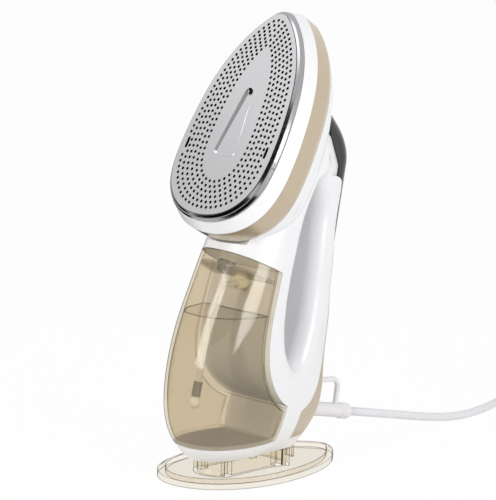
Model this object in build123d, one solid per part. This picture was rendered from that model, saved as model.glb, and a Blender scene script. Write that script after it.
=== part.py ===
"""Garment steamer: a leaning perforated soleplate on a loop handle, a clear water tank and a clear stand.

Millimetres, +Z up, the soleplate faces -Y, and the stand's underside is z = 0. X = 0 is the mirror plane.
"""

import os
from math import asin, atan2, cos, degrees, dist, hypot, pi, radians, sin, sqrt, tan

from build123d import *

# Soleplate: it leans back, and its outline is a teardrop with a round heel and a small round tip.
HEAD_LEAN = 28.6
HEAD_CENTRE = (0, -34.3, 220.5)
SOLE_FORM = (
    (0.58, 0.043),
    (0.87, 0.131),
    (1, 0.312),
    (0.975, 0.475),
    (0.87, 0.655),
    (0.6, 0.84),
    (0.161, 0.984),
)
SOLE_HALF_WIDTH = 46.6
SOLE_HEEL = -49.3
SOLE_TIP = 105.5
SOLE_FACE_INSET = 3.2
SOLE_THICK = 3.0
HOLE_RADIUS = 1.05
HOLE_PITCH = 4.3
HOLE_ROWS = 6
HOLE_ROW_STEP = 3.7
FIRST_ROW_INSET = 8.4
SLOT_OUT = 37.4
SLOT_UP = 2.5
SLOT_LONG = 8.0
SLOT_WIDE = 2.0
TROUGH_TOP = 46.0
TROUGH_BOTTOM = -3.0
TROUGH_HALF_TOP = 3.4
TROUGH_HALF_BOTTOM = 10.5
TROUGH_DEPTH = 1.8

# Head, as depths behind the soleplate's face and as growth of the soleplate's outline.
RIM_STEP = 1.9
RIM_SIDE = 3.8
RIM_DEPTH = 5.0
RIM_LEDGE = 7.0
RING_DEPTH = 14.5
RING_GROW = 4.2
RING_BORE = -3.0
BAND_CHAMFER = 28.0
BAND_DEPTH = 33.0
BAND_BORE = -1.0
BAND_LIP = 3.0
HEATER_GROW = -8.0
HEATER_DEPTH = 15.0
CHAMBER_GROW = -16.0
CHAMBER_FLOOR = 9.0
GASKET_THICK = 1.2
COVER_THICK = 2.0
SHIELD_THICK = 1.2
HEAD_SCREW_RADIUS = 1.7
HEAD_SCREWS = ((31.4, -21.3), (21.7, 73.6))
ELEMENT_RADIUS = 3.0
ELEMENT_OUT = 11.0
ELEMENT_LOW = -16.0
ELEMENT_HIGH = 52.0
STEAM_INLET = (9.0, -4.0)

# Housing: level sections at rising heights, as (height, front, back, half width, where it is widest).
WALL = 2.4
BODY = (
    (14, -57, 36, 20, -22),
    (22, -62, 46, 27, -32),
    (36, -68, 57.5, 31.5, -38),
    (56, -70, 62, 33, -40),
    (85, -66, 64, 33, -36),
    (118, -55, 66, 32, -25),
    (150, -40.5, 68.5, 31, -11),
    (180, -25, 72, 30, 3),
    (205, -9, 73.5, 28, 16),
    (228, 8, 59, 24, 28),
    (242, 20, 50, 18, 33),
)
GRIP_HALF_WIDTH = 16.0
GRIP_ROUND = 17.0
# The hand opening, seen from the side, as (y, z) points of one closed curve.
OPENING = (
    (14, 72),
    (2.5, 90),
    (2, 112),
    (11, 152),
    (27, 190),
    (37, 199),
    (44, 188),
    (43.5, 165),
    (39.5, 136),
    (35, 108),
    (26, 82),
)
OPENING_ROUND = 11.0
OPENING_WALL = 4.0
SCREW_RADIUS = 1.6
SCREW_HEAD = 3.1
BOSS_RADIUS = 4.0
HOUSING_SCREWS = ((31, 220), (-21, 163), (53.5, 134), (38, 68), (9, 26))

# Water tank, seen from the side. Its top falls towards the back, so that it pulls out forwards.
TANK_BOTTOM = 24.0
TANK_TOP_BACK = (-8.0, 140.5)
TANK_TOP_SLOPE = 0.479
TANK_BACK = ((-13, 123), (-19.5, 92), (-18, 74), (-7, 55.5), (5.5, 47))
TANK_HEEL_Y = -3.0
TANK_WALL = 2.2
TANK_BACK_PLATE = 4.8
SEAM = 0.4
SEAM_LIFT = 1 - TANK_TOP_SLOPE
LID_DROP = 8.0
LID_THICK = 2.0
PORT_HEIGHT = 130.5
PORT_RADIUS = 4.6
PORT_BORE = 2.4
PORT_INNER = -20.0
PLUG_Y = -30.0
HOSE_RADIUS = 2.0
PICKUP_ROUTE = ((0, -20, 130.5), (0, -34, 130.5), (0, -44, 112), (0, -48, 86), (0, -53.5, 60))
BALL_RADIUS = 4.4

# Controls on the back spine. The stretch that carries the buttons is straight.
SPINE_HALF_WIDTH = 11.5
SPINE_DEPTH = 11.5
SPINE_CROWN = 9.0
SPINE_SKIN = 2.2
SPINE_LOW = (68.0, 152.4)
SPINE_HIGH = (77.0, 206.0)
SPINE_TOP = (59.0, 244.0)
BUTTON_RADIUS = 5.2
BUTTON_PROUD = 0.8
BUTTON_FLANGE = 1.2
FLANGE_DROP = 3.7
BUTTON_GAP = 0.35
BUTTON_TRAVEL = 1.2
BUTTONS_UP = (20.0, 38.0)
BOARD_DROP = 8.2
BOARD_THICK = 1.6
BOARD_UP = (8.0, 50.0)

# Pump and hoses in the base and the front column.
PUMP_RADIUS = 10.0
PUMP_HEIGHT = 45.0
PUMP_FRONT = 17.0
PUMP_BACK = 40.0
MOUNT_RADIUS = 12.5
FEED_RADIUS = 2.8
SPIGOT_Y = -5.9
SPIGOT_LOW = 121.0
PUMP_BARB = (7.0, 13.5, 56.0)
INLET_ROUTE = (
    (0, SPIGOT_Y, SPIGOT_LOW),
    (0, SPIGOT_Y, 113),
    (-7, -9.4, 98),
    (-7, -8, 77),
    (-7, 13.5, 60.5),
    (-7, 13.5, 56),
)
FEED_ROUTE = (
    (7, 13.5, 56),
    (7, 13.5, 60.5),
    (7, -8, 77),
    (7, -9.2, 100),
    (7, -4.2, 126),
    (7, -0.6, 150),
    (9, 1, 178),
)

# Stand: a teardrop tray with a collar under the steamer's foot.
STAND_FORM = (
    (0.5, 0.052),
    (0.84, 0.18),
    (1, 0.4),
    (0.97, 0.53),
    (0.85, 0.69),
    (0.58, 0.855),
    (0.161, 0.984),
)
STAND_HALF_WIDTH = 43.5
STAND_HALF_LENGTH = 75.0
STAND_RIM = 6.2
STAND_SIDE = 4.2
STAND_BEVEL = 3.8
STAND_FLOOR = 2.2
COLLAR_WALL = 2.2
POST = 6.0
POST_PLACES = ((12.5, -35), (12.5, 12))
POST_TOP = 18.0
TAB_Y = 37.0
TAB_WIDE = 7.0

# Cord: a run from the strain relief, a put-away coil of four layers, and a two-blade plug.
CORD_RADIUS = 3.1
CORD_DROP = 11.0
CORD_FLOOR = 3.3
RELIEF_START = (0, 48.0, 35.0)
RELIEF_LONG = 47.0
RELIEF_RADIUS = 5.1
RELIEF_BEAD = 5.7
LOOP_RADIUS = 1.9
LOOP_ROUTE = ((0, 54, 53.4), (0, 84.5, 51), (0, 81.5, 29))
COIL_CENTRE = (12.0, 338.0)
COIL_OUTER = 44.6
COIL_PITCH = 6.9
COIL_LAYERS = 4
COIL_STEPS = 11
COIL_TURNS = 11
COIL_END_TURN = 180.0
PLUG_LONG = 34.0
PLUG_WIDE = 24.0
PLUG_HIGH = 17.0

LEAN_COS = cos(radians(HEAD_LEAN))
LEAN_SIN = sin(radians(HEAD_LEAN))
HEAD = Plane(origin=HEAD_CENTRE, x_dir=(1, 0, 0), z_dir=(0, -LEAN_COS, LEAN_SIN))
SIDE = Plane.YZ
RIGHT = Pos(100, 0, 200) * Box(200, 400, 500)
FOOT = BODY[0][0]
COVER_DEPTH = HEATER_DEPTH + GASKET_THICK
SHIELD_DEPTH = BAND_DEPTH - BAND_LIP - SHIELD_THICK
SPINE_RISE = Vector(0, SPINE_HIGH[0] - SPINE_LOW[0], SPINE_HIGH[1] - SPINE_LOW[1]).normalized()
KEYS = Plane(origin=(0, *SPINE_LOW), x_dir=(-1, 0, 0), z_dir=(0, SPINE_RISE.Z, -SPINE_RISE.Y))
RELIEF = Plane(
    origin=RELIEF_START, x_dir=(1, 0, 0), z_dir=(0, cos(radians(CORD_DROP)), -sin(radians(CORD_DROP)))
)

os.makedirs("parts", exist_ok=True)


def save(shape, node):
    export_step(shape, f"parts/{node}.step")


def mirrored(half):
    return half + half.mirror(SIDE)


def rod(start, end, radius):
    """A round bar between two points."""
    axis = Vector(*end) - Vector(*start)
    return extrude(Plane(origin=start, z_dir=axis) * Circle(radius), axis.length)


def side_block(face, half_width=70):
    """A side view drawn on the mirror plane, carried across the width."""
    return extrude(SIDE * face, half_width, both=True)


def tube(path, radius):
    return sweep(Plane(origin=path @ 0, z_dir=path % 0) * Circle(radius), path=path)


def bent_tube(route, radius, bend):
    """A round tube along straight runs joined by tangent arcs."""
    return tube(FilletPolyline(*route, radius=bend), radius)


def teardrop(form, half_width, heel, tip):
    """An outline with one smooth skirt around the heel and both flanks, and a round nose at the tip."""
    right = [(x * half_width, heel + y * (tip - heel)) for x, y in form]
    left = [(-x, y) for x, y in reversed(right)]
    skirt = Spline(*left, (0, heel), *right)
    return [skirt, ThreePointArc(right[-1], (0, tip), left[0])]


def whole(half):
    """A closed face from half of an outline and its mirror image."""
    return make_face(half + [edge.mirror(SIDE) for edge in half])


def head_edges(grow, tip_back=0.0):
    return teardrop(SOLE_FORM, SOLE_HALF_WIDTH + grow, SOLE_HEEL - grow, SOLE_TIP + grow - tip_back)


def head_face(grow, depth, tip_back=0.0):
    return HEAD.offset(-depth) * make_face(head_edges(grow, tip_back))


def head_slab(grow, front, back):
    """A plate of the head between two depths behind the soleplate's face."""
    return extrude(head_face(grow, front), front - back)


def head_disc(place, radius, front, back):
    return HEAD.offset(-front) * Pos(*place) * extrude(Circle(radius), front - back)


def body_section(row, inset):
    """A level section of the housing: a round front, long flanks and a narrow grip at the back."""
    height, front, back, wide, widest = row
    front, back, wide = front + inset, back - inset, wide - inset
    grip = GRIP_HALF_WIDTH - inset
    right = (
        (0.70 * wide, front + 0.27 * (widest - front)),
        (wide, widest),
        (0.87 * wide, widest + 0.42 * (back - widest)),
        (grip, back - GRIP_ROUND),
        (0.62 * grip, back - 0.26 * GRIP_ROUND),
    )
    left = [(-x, y) for x, y in reversed(right)]
    return Plane.XY.offset(height) * make_face(Spline((0, front), *right, (0, back), *left, periodic=True))


def body_stack(inset):
    rows = list(BODY)
    rows[0] = (FOOT + inset,) + rows[0][1:]
    rows[-1] = (rows[-1][0] - inset,) + rows[-1][1:]
    return loft([body_section(row, inset) for row in rows])


def dome(inset):
    """The white back of the head, which draws in towards the neck."""
    steps = ((1.2, 0, 0), (-3.5, 11, 7), (-12, 22, 18), (-26, 34, 27))
    return loft([head_face(grow - inset, BAND_DEPTH + behind, tip) for grow, behind, tip in steps])


def opening_face(grow=0.0):
    """The hand opening from the side, or a wider one whose points stand further out."""
    points = []
    for index, (y, z) in enumerate(OPENING):
        before, after = OPENING[index - 1], OPENING[(index + 1) % len(OPENING)]
        along, up = after[0] - before[0], after[1] - before[1]
        points.append((y - grow * up / hypot(along, up), z + grow * along / hypot(along, up)))
    return make_face(Spline(*points, periodic=True))


def loop_half(inset, opening_grow, mouth_round):
    """The right half of the moulded form, or of the room inside it, with its rounded hand opening."""
    cutter = extrude(SIDE * opening_face(opening_grow), 60)
    neck = head_slab(RING_GROW + 0.6 + inset, -30, BAND_DEPTH + inset)
    form = body_stack(inset) - neck + dome(inset)
    form = (form & RIGHT) - cutter
    mouth = [
        edge
        for edge in form.edges()
        if edge.length > 100
        and edge.bounding_box().min.X > 5
        and cutter.distance_to(Vertex(edge @ 0.5)) < 0.01
        and cutter.distance_to(Vertex(edge @ 0.2)) < 0.01
    ]
    return fillet(mouth, mouth_round)


def tank_profile(grow=0.0, forward=0.0):
    """The tank's space from the side: grown up, down and backwards, or with its back line moved forwards."""
    y, z = TANK_TOP_BACK
    far = -STAND_HALF_LENGTH - 20
    shift = grow - forward
    back = Spline(*[(py + shift, pz + SEAM_LIFT * shift) for py, pz in (TANK_TOP_BACK,) + TANK_BACK])
    lean = (back % 0) * -1
    climb = forward / (lean.Y + TANK_TOP_SLOPE * lean.X)
    apex = (y + shift + lean.X * climb, z + SEAM_LIFT * shift + lean.Y * climb)
    heel = (TANK_HEEL_Y + shift, TANK_BOTTOM - grow)
    low = (far, TANK_BOTTOM - grow)
    high = (far, z + grow + TANK_TOP_SLOPE * (y - far))
    outline = [Polyline(back @ 1, heel, low, high, apex)]
    if forward:
        outline.append(Line(apex, back @ 0))
    return make_face([back] + outline)


def tank_top(drop):
    """Everything above a slanted plane that lies below the tank's top edge."""
    y, z = TANK_TOP_BACK
    slope = degrees(atan2(TANK_TOP_SLOPE, 1))
    return Pos(0, y, z - drop) * Rot(-slope, 0, 0) * Pos(0, 0, 50) * Box(140, 260, 100)


def cover_profile():
    """The champagne back cover from the side: a narrow strip that widens above the foot."""
    top = SPINE_LOW[1]
    strip = Spline((62.3, top), (58.5, 118), (53.5, 75), (44, 50), (26, 39.5))
    return make_face([strip, Polyline((26, 39.5), (17.5, 21), (80, 21), (80, top), (62.3, top))])


def spine_profile():
    """The black back spine from the side: a straight back, a swept top and a flat underside."""
    rise = (SPINE_RISE.Y, SPINE_RISE.Z)
    crown = Spline(SPINE_HIGH, (70.4, 230), SPINE_TOP, tangents=(rise, (-0.6, 0.8)))
    under_high = (SPINE_HIGH[0] - SPINE_DEPTH, SPINE_HIGH[1])
    under_low = (SPINE_LOW[0] - SPINE_DEPTH, SPINE_LOW[1])
    under_top = (SPINE_TOP[0] - 7, SPINE_TOP[1] - 5)
    under = Polyline(SPINE_TOP, under_top, under_high, under_low, SPINE_LOW)
    return make_face([Line(SPINE_LOW, SPINE_HIGH), crown, under])


def relief_bar(grow=0.0):
    """The strain relief's barrel, with a round bead at its free end."""
    barrel = RELIEF * extrude(Circle(RELIEF_RADIUS + grow), RELIEF_LONG)
    bead = RELIEF.offset(RELIEF_LONG - 10) * extrude(Circle(RELIEF_BEAD), 10)
    bead = fillet(bead.edges().filter_by(GeomType.CIRCLE), 2.2)
    return barrel + bead


def hanging_loop():
    return bent_tube(LOOP_ROUTE, LOOP_RADIUS, 6.0)


def screw_line(place, start, end, radius):
    y, z = place
    return rod((start, y, z), (end, y, z), radius)


def inner_ribs(room):
    """Webs inside one half: pump cradles and screw bosses."""
    cradle = Box(70, 3, 34)
    ribs = [Pos(0, y, PUMP_HEIGHT) * cradle for y in (PUMP_FRONT + 4.5, PUMP_BACK - 4.5)]
    hollow = rod((0, 0, PUMP_HEIGHT), (0, 60, PUMP_HEIGHT), MOUNT_RADIUS)
    posts = [screw_line(place, 0, 45, BOSS_RADIUS) for place in HOUSING_SCREWS]
    webs = [rib - hollow for rib in ribs] + posts
    return [web & room for web in webs]


def largest(shape):
    """The main solid, without the slivers that a cut leaves beside it."""
    return max(shape.solids(), key=lambda solid: solid.volume)


def shoulder_cut(wall):
    """The recess beside the spine above the grip's round shoulder, or the same with a wall around it."""
    shoulder = Spline((50, 199.5), (60, 199), (67.5, 195), (72.5, 186))
    recess = make_face([shoulder, Polyline((72.5, 186), (90, 180), (90, 252), (44, 252), (50, 199.5))])
    return Pos(SPINE_HALF_WIDTH - 2 - wall, -wall, -wall) * extrude(SIDE * recess, 60)


def housing(skin, hollow):
    """The right half of the housing, with its webs and pockets but without its screw holes."""
    shell = skin - [shoulder_cut(0), side_block(cover_profile())] + inner_ribs(hollow)
    spine = side_block(spine_profile(), SPINE_HALF_WIDTH)
    port = rod((0, -12, PORT_HEIGHT), (0, 0, PORT_HEIGHT), PORT_BORE - 0.5)
    socket = Box(POST + 0.8, POST + 0.8, 2 * (POST_TOP - FOOT + 0.5))
    sockets = [Pos(x, y, FOOT) * socket for x, y in POST_PLACES]
    return largest(shell - [spine, port] - sockets)


def screw_holes(shell, threaded):
    """The screws' holes in one half: threaded in the right half, with room for the heads in the left."""
    holes = [screw_line(place, -1, 11, SCREW_RADIUS) for place in HOUSING_SCREWS]
    if not threaded:
        holes += [screw_line(place, 10, 60, SCREW_HEAD + 0.2) for place in HOUSING_SCREWS]
    return shell - holes


def housing_screws():
    screws = []
    for place in HOUSING_SCREWS:
        shank = screw_line(place, -10, 10, SCREW_RADIUS)
        screws.append(shank + screw_line(place, -12.4, -10, SCREW_HEAD))
    return Compound(children=screws)


def rear_cover(skin, hollow):
    """The champagne cover cut from the same skin, with a shelf for the cord's clamp."""
    region = side_block(cover_profile())
    shelf = Pos(25, 43, 31) * Box(40, 6, 4) & hollow & region
    return mirrored((skin & region) + shelf) - relief_bar() - hanging_loop()


def spine_block(inset):
    """The spine's crowned bar, or a smaller one inside its skin."""
    block = Pos(0, -inset, 0) * side_block(spine_profile(), SPINE_HALF_WIDTH - inset)
    edge_x = SPINE_HALF_WIDTH - inset - 0.1
    rear = [edge for edge in block.edges() if abs(edge.center().X) > edge_x and edge.length > 35]
    rear = [edge for edge in rear if edge.center().Y > 66]
    return fillet(rear, SPINE_CROWN - inset)


def control_spine():
    hollow = spine_block(SPINE_SKIN) & Pos(0, 60, 195) * Box(60, 60, 80)
    spine = spine_block(0) - hollow
    for up in BUTTONS_UP:
        spine = spine - KEYS * Pos(0, up) * Cylinder(BUTTON_RADIUS + BUTTON_GAP, 12)
    spine = spine - KEYS * Pos(0, sum(BUTTONS_UP) / 2) * Cylinder(1.4, 12)
    for x, up in board_corners():
        spine = spine + KEYS * Pos(x, up, -3) * extrude(Circle(1.8), 3 - BOARD_DROP)
    return spine


def board_corners():
    low, high = BOARD_UP
    return [(x, up) for x in (-6.8, 6.8) for up in (low + 2, high - 2)]


def control_board():
    low, high = BOARD_UP
    return KEYS * Pos(0, (low + high) / 2, -BOARD_DROP - BOARD_THICK / 2) * Box(17.6, high - low, BOARD_THICK)


def board_screws():
    screws = []
    for x, up in board_corners():
        top = KEYS.offset(-BOARD_DROP - BOARD_THICK) * Pos(x, up)
        screws.append(top * extrude(Circle(1.7), -1.2))
    return Compound(children=screws)


def button(up):
    """A round key with a flange that stops it under the spine's skin."""
    flange_top = -FLANGE_DROP
    cap = KEYS.offset(flange_top) * Pos(0, up) * extrude(Circle(BUTTON_RADIUS), BUTTON_PROUD - flange_top)
    cap = fillet(cap.edges().group_by(Axis.Y)[-1], 0.5)
    return cap + KEYS.offset(flange_top) * Pos(0, up) * extrude(Circle(BUTTON_RADIUS + 1.2), -BUTTON_FLANGE)


def key_domes():
    """Two rubber domes on one sheet, clear of the keys by their travel."""
    top = -FLANGE_DROP - BUTTON_GAP - BUTTON_FLANGE - BUTTON_TRAVEL
    sheet = KEYS.offset(-BOARD_DROP) * Pos(0, sum(BUTTONS_UP) / 2) * extrude(Rectangle(9, 30), 0.8)
    for up in BUTTONS_UP:
        foot = KEYS.offset(-BOARD_DROP) * Pos(0, up)
        sheet = sheet + foot * extrude(Circle(3.4), BOARD_DROP + top, taper=20)
    return sheet


def indicator_lens():
    light = KEYS.offset(-BOARD_DROP + 0.8) * Pos(0, sum(BUTTONS_UP) / 2)
    return light * extrude(Circle(1.4), BOARD_DROP - 0.8)


def soleplate():
    """The perforated plate: rows of staggered holes that follow its outline, two slots and a trough."""
    face = make_face(head_edges(-SOLE_FACE_INSET))
    holes = []
    for row in range(HOLE_ROWS):
        skirt, nose = head_edges(-FIRST_ROW_INSET - row * HOLE_ROW_STEP)
        track = Wire([skirt, nose])
        count = 2 * round(track.length / HOLE_PITCH / 2)
        for step in range(count):
            along = skirt.length / 2 / track.length + (step + 0.5 * (row % 2)) / count
            spot = track.position_at(along % 1)
            if abs(abs(spot.X) - SLOT_OUT) > 2.4 or abs(spot.Y - SLOT_UP) > SLOT_LONG / 2 + 2:
                holes.append(Pos(spot.X, spot.Y) * RegularPolygon(HOLE_RADIUS, 6))
    slots = [Pos(x, SLOT_UP) * SlotOverall(SLOT_LONG, SLOT_WIDE, rotation=90) for x in (-SLOT_OUT, SLOT_OUT)]
    outlet = Pos(0, TROUGH_TOP - 1.5) * Circle(2.2)
    inner = [hole.face().outer_wire() for hole in holes + slots]
    plate = extrude(HEAD * Face(face.face().outer_wire(), inner), -SOLE_THICK)
    trough = Polygon(
        (-TROUGH_HALF_BOTTOM, TROUGH_BOTTOM),
        (TROUGH_HALF_BOTTOM, TROUGH_BOTTOM),
        (TROUGH_HALF_TOP, TROUGH_TOP),
        (-TROUGH_HALF_TOP, TROUGH_TOP),
        align=None,
    )
    trough = fillet(trough.vertices(), 3.0)
    recess = HEAD * extrude(trough, -TROUGH_DEPTH, taper=12)
    return plate - recess - HEAD * extrude(outlet, -SOLE_THICK)


def soleplate_rim():
    """The polished edge around the soleplate: two bevels with a step between, and a ledge behind them."""
    inner = loft([head_face(-SOLE_FACE_INSET + 0.3, 0.3), head_face(-1.6, RIM_STEP)])
    outer = loft([head_face(-1.0, RIM_STEP), head_face(0, RIM_SIDE)])
    body = inner + outer + head_slab(0, RIM_SIDE, RIM_DEPTH)
    body = body - head_slab(-SOLE_FACE_INSET, -1, SOLE_THICK)
    return body - head_slab(-RIM_LEDGE, SOLE_THICK, RIM_DEPTH)


def head_ring():
    flare = loft([head_face(0.6, RIM_DEPTH), head_face(RING_GROW, RING_DEPTH)])
    return flare - head_slab(RING_BORE, RIM_DEPTH, RING_DEPTH)


def head_band():
    sides = loft([head_face(RING_GROW, RING_DEPTH), head_face(3.9, BAND_CHAMFER)])
    sides = sides + loft([head_face(3.9, BAND_CHAMFER), head_face(1.2, BAND_DEPTH)])
    lip = BAND_DEPTH - BAND_LIP
    return sides - head_slab(BAND_BORE, RING_DEPTH, lip) - head_slab(BAND_BORE - 4, lip, BAND_DEPTH)


def element_path():
    low, high, out = ELEMENT_LOW, ELEMENT_HIGH, ELEMENT_OUT
    back = -COVER_DEPTH - COVER_THICK - 5
    level = -CHAMBER_FLOOR - 1.5
    points = [(-out, low, back), (-out, low, level), (-out, high, level)]
    points += [(out, high, level), (out, low, level), (out, low, back)]
    bend = 2 * ELEMENT_RADIUS
    route = FilletPolyline(*points, radius=[bend, out - 0.5, out - 0.5, bend])
    return HEAD * route


def heating_element():
    return tube(element_path(), ELEMENT_RADIUS)


def heater_plate():
    """The cast plate: a steam channel in front, a chamber at the back, and the element cast into it."""
    cast = head_slab(HEATER_GROW, SOLE_THICK, HEATER_DEPTH)
    channel = head_slab(-10.5, SOLE_THICK, 5.5) - head_slab(-30, SOLE_THICK, 5.5)
    chamber = head_slab(CHAMBER_GROW, CHAMBER_FLOOR, HEATER_DEPTH)
    bed_half = ELEMENT_OUT + ELEMENT_RADIUS + 2
    bed_mid = (ELEMENT_LOW + ELEMENT_HIGH) / 2
    bed_long = ELEMENT_HIGH - ELEMENT_LOW + 2 * ELEMENT_RADIUS + 4
    floor = HEAD.offset(-CHAMBER_FLOOR) * Pos(0, bed_mid)
    bed = floor * extrude(Rectangle(2 * bed_half, bed_long), CHAMBER_FLOOR - HEATER_DEPTH + 0.5)
    well = floor * Pos(0, -4) * extrude(Rectangle(12, bed_long - 14), CHAMBER_FLOOR - HEATER_DEPTH)
    plate = cast - channel - (chamber - bed) - well
    for x, y in HEAD_SCREWS:
        for side in (-x, x):
            plate = plate - head_disc((side, y), HEAD_SCREW_RADIUS, 6.5, HEATER_DEPTH)
    for x, y in ((-24, 0), (24, 0), (0, 72)):
        plate = plate - head_disc((x, y), 2.2, 4, CHAMBER_FLOOR + 1)
    return plate - heating_element()


def chamber_gasket():
    return head_slab(-13.4, HEATER_DEPTH, COVER_DEPTH) - head_slab(-15.4, HEATER_DEPTH, COVER_DEPTH)


def chamber_cover():
    """The chamber's back plate, with the water inlet and the element's two glands."""
    back = COVER_DEPTH + COVER_THICK
    plate = head_slab(HEATER_GROW - 0.3, COVER_DEPTH, back)
    plate = plate + head_disc(STEAM_INLET, 2.6, back, back + 7)
    plate = plate - head_disc(STEAM_INLET, 1.4, COVER_DEPTH, back + 7)
    for x, y in HEAD_SCREWS:
        for side in (-x, x):
            plate = plate - head_disc((side, y), HEAD_SCREW_RADIUS, COVER_DEPTH, back)
    return plate - heating_element()


def thermostat():
    back = COVER_DEPTH + COVER_THICK
    case = head_disc((0, 28), 8, back, back + 5)
    return case + head_disc((0, 28), 5.5, back + 5, back + 8)


def thermal_fuse():
    back = COVER_DEPTH + COVER_THICK
    line = HEAD.offset(-back - 2.0) * Pos(22, 20)
    return line * Rot(90, 0, 0) * Cylinder(2.0, 16)


def heat_shield():
    """A plate across the band's back lip, on posts that hold the chamber's cover down."""
    back = COVER_DEPTH + COVER_THICK
    plate = head_slab(BAND_BORE - 0.2, SHIELD_DEPTH, SHIELD_DEPTH + SHIELD_THICK)
    for x, y in HEAD_SCREWS:
        for side in (-x, x):
            plate = plate + head_disc((side, y), 4.2, back, SHIELD_DEPTH)
    for x, y in HEAD_SCREWS:
        for side in (-x, x):
            plate = plate - head_disc((side, y), HEAD_SCREW_RADIUS, back, SHIELD_DEPTH + SHIELD_THICK)
    vent = HEAD.offset(-SHIELD_DEPTH) * Pos(0, 28) * extrude(Circle(10), -SHIELD_THICK)
    hose_hole = head_disc(STEAM_INLET, FEED_RADIUS + 1.2, SHIELD_DEPTH, SHIELD_DEPTH + SHIELD_THICK)
    return plate - vent - hose_hole


def head_screws():
    screws = []
    back = SHIELD_DEPTH + SHIELD_THICK
    for x, y in HEAD_SCREWS:
        for side in (-x, x):
            shank = head_disc((side, y), HEAD_SCREW_RADIUS, 6.5, back)
            screws.append(shank + head_disc((side, y), 3.2, back, back + 2))
    return Compound(children=screws)


def above_floor():
    return Pos(0, 0, TANK_BOTTOM + TANK_WALL + 100) * Box(200, 300, 200)


def tank_shell(form, hollow):
    """The amber cup, open at its top and at its back."""
    half = form & side_block(tank_profile(0, TANK_BACK_PLATE))
    return mirrored(half - hollow)


def tank_back(form, hollow):
    """The pale back plate welded to the cup, with a shallow hollow inside its flange."""
    half = form & side_block(tank_profile())
    half = half - side_block(tank_profile(5, TANK_BACK_PLATE + 5))
    half = half - (hollow & side_block(tank_profile(5, TANK_WALL + 5)))
    return mirrored(half) - port_body()


def port_body():
    """The silicone valve: a bush through the tank's back and a dome above the lid."""
    bush = rod((0, PORT_INNER, PORT_HEIGHT), (0, 0, PORT_HEIGHT), PORT_RADIUS)
    neck = rod((0, -15, PORT_HEIGHT), (0, -15, PORT_HEIGHT + 5.5), 3.0)
    cap = Pos(0, -15, PORT_HEIGHT + 5.5) * Sphere(4.4, arc_size1=0)
    return (bush + neck + cap) & side_block(tank_profile())


def tank_port():
    bore = rod((0, PORT_INNER + 3, PORT_HEIGHT), (0, 0, PORT_HEIGHT), PORT_BORE)
    throat = rod((0, PORT_INNER, PORT_HEIGHT), (0, 0, PORT_HEIGHT), 1.2)
    return port_body() - bore - throat


def tank_lid(hollow):
    """A plate across the tank below its top edge, with a filler hole."""
    half = hollow & side_block(tank_profile(0, TANK_WALL))
    half = half & (tank_top(LID_DROP + LID_THICK) - tank_top(LID_DROP))
    return mirrored(half) - port_body() - filler_bar(5.0, -20, 20)


def filler_bar(radius, low, high):
    """A round bar square to the lid, measured from the lid's top."""
    y, z = TANK_TOP_BACK
    top = z - LID_DROP + TANK_TOP_SLOPE * (y - PLUG_Y)
    slope = degrees(atan2(TANK_TOP_SLOPE, 1))
    return Pos(0, PLUG_Y, top) * Rot(-slope, 0, 0) * Pos(0, 0, low) * extrude(Circle(radius), high - low)


def tank_plug():
    """The filler's stopper: a stem in the lid and a wider head above it."""
    return filler_bar(5.0, -4.5, 0) + filler_bar(6.0, 0, 3.2)


def pickup_hose():
    return bent_tube(PICKUP_ROUTE, HOSE_RADIUS, 9.0)


def pickup_end():
    """The direction of the hose's last run and its end."""
    last, end = Vector(*PICKUP_ROUTE[-2]), Vector(*PICKUP_ROUTE[-1])
    return (end - last).normalized(), end


def pickup_sleeve():
    way, end = pickup_end()
    outer = rod(tuple(end - way * 7), tuple(end + way * 3), 3.0)
    return outer - pickup_hose()


def pickup_ball():
    way, end = pickup_end()
    ball = Pos(*(end + way * (3 + BALL_RADIUS - 0.6))) * Sphere(BALL_RADIUS)
    return ball - rod(tuple(end - way * 7), tuple(end + way * 3), 3.0)


def inlet_spigot():
    """An elbow through the housing's inner wall: a nose for the tank's port and a barb for the hose."""
    nose = rod((0, PORT_INNER + 4, PORT_HEIGHT), (0, SPIGOT_Y, PORT_HEIGHT), PORT_BORE - 0.5)
    flange = rod((0, -12, PORT_HEIGHT), (0, SPIGOT_Y, PORT_HEIGHT), 4.0)
    flange = flange - side_block(tank_profile(SEAM + WALL))
    barb = rod((0, SPIGOT_Y, PORT_HEIGHT + 1.9), (0, SPIGOT_Y, SPIGOT_LOW), 1.9)
    return nose + flange + barb


def water_pump():
    body = rod((0, PUMP_FRONT, PUMP_HEIGHT), (0, PUMP_BACK, PUMP_HEIGHT), PUMP_RADIUS)
    x, y, top = PUMP_BARB
    block = Pos(0, y, PUMP_HEIGHT + 2) * Box(2 * x + 8, 7, 10)
    barbs = [rod((side, y, PUMP_HEIGHT + 5), (side, y, top), 2.2) for side in (-x, x)]
    return body + block + barbs


def pump_mounts():
    rings = []
    for y in (PUMP_FRONT + 4.5, PUMP_BACK - 4.5):
        ring = rod((0, y - 2.5, PUMP_HEIGHT), (0, y + 2.5, PUMP_HEIGHT), MOUNT_RADIUS)
        rings.append(ring - rod((0, 0, PUMP_HEIGHT), (0, 60, PUMP_HEIGHT), PUMP_RADIUS))
    return Compound(children=rings)


def inlet_hose():
    return bent_tube(INLET_ROUTE, FEED_RADIUS, 5.0)


def feed_hose():
    """From the pump up the front column to the steam chamber's inlet."""
    reach = COVER_DEPTH + COVER_THICK + 7
    last = [tuple(HEAD.from_local_coords((*STEAM_INLET, -depth))) for depth in (reach + 14.5, reach)]
    return bent_tube(FEED_ROUTE + tuple(last), FEED_RADIUS, 5.0)


def strain_relief():
    """The cord's barrel, with a flange and a stub inside the cover, and the loop that it hangs by."""
    flange = RELIEF * extrude(Circle(8), 2.2)
    stub = RELIEF * extrude(Circle(CORD_RADIUS), -7)
    return relief_bar() + flange + stub + hanging_loop()


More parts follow.
